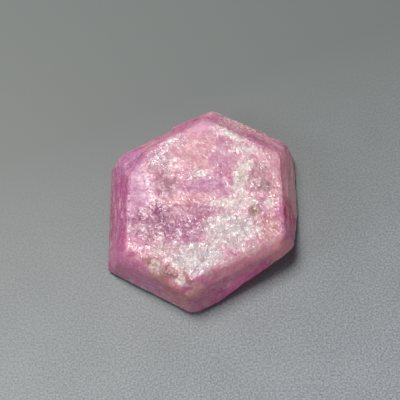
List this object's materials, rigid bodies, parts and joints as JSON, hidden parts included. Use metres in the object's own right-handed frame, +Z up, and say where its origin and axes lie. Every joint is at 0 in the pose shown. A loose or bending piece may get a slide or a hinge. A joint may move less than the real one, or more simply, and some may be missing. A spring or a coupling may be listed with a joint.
{
  "type": "raw ruby crystal",
  "caption": "Rough six-sided tablet of pink ruby with a flat frosted top, bevelled edges, steep striated walls and a flat resting face.",
  "frame": {"origin": "middle of the footprint's bounding box, on the surface the crystal rests on", "axes": "+Z up along the crystal's c axis, square to its flat top and resting faces; the six sides face about 0, 60, 120, 180, 240 and 300 degrees from +X, so corners point along +Y and -Y; the deep front wall faces -Y"},
  "size_m": [0.0244, 0.0278, 0.0062],
  "materials": {
    "ruby": "translucent pink corundum, frosted on the top face and waxy on the sides"
  },
  "bodies": {
    "root": {"ruby_crystal": "ruby"}
  },
  "joints": []
}
